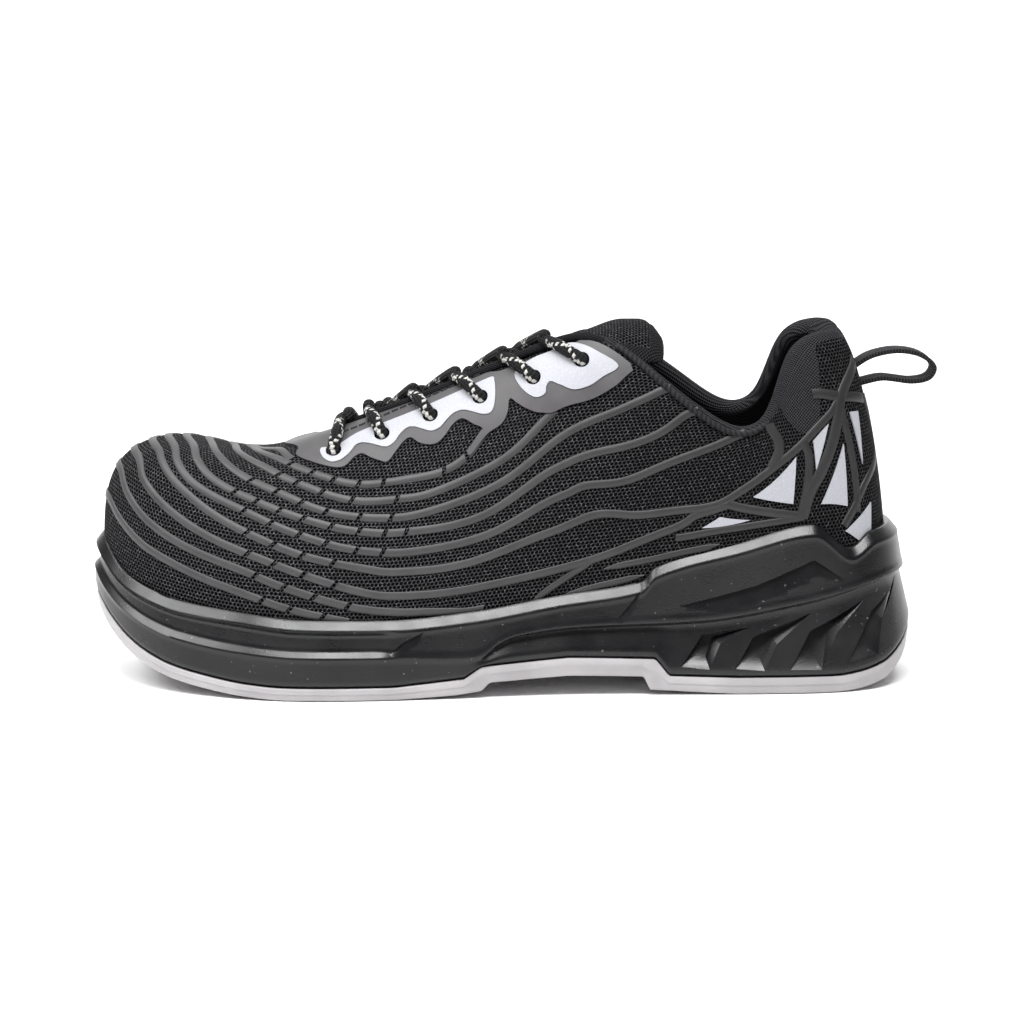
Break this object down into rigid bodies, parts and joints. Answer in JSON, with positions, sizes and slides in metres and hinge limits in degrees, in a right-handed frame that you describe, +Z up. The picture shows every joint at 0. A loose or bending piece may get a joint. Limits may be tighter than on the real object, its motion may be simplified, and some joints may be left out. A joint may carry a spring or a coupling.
{
  "type": "low safety shoe",
  "caption": "Left low safety shoe: hollow knit upper with film overlays, padded collar and tongue, laced throat and rear pull loop, on a stepped black cup sole with pale tread.",
  "frame": {"origin": "centre of the bounding box in plan, on the floor plane that the heel and forefoot rest on", "axes": "+X to the toe, +Y to the wearer's left, which is this shoe's outer side, +Z up"},
  "size_m": [0.3081, 0.1068, 0.1317],
  "materials": {
    "outsole_rubber": "matt moulded",
    "midsole_rubber": "semi-gloss moulded",
    "knit_black": "open knit mesh",
    "film_grey": "satin film",
    "lace_black": "woven, flecked",
    "footbed": "brushed"
  },
  "bodies": {
    "root": {"eyestay": "film_grey", "heel_cage": "film_grey", "insole": "footbed", "lace_bar": "lace_black", "lace_cross_1": "lace_black", "lace_cross_2": "lace_black", "lace_cross_3": "lace_black", "lace_cross_4": "lace_black", "lace_cross_5": "lace_black", "midsole": "midsole_rubber", "outsole": "outsole_rubber", "pull_loop": "lace_black", "tongue": "knit_black", "upper": "knit_black"}
  },
  "joints": []
}
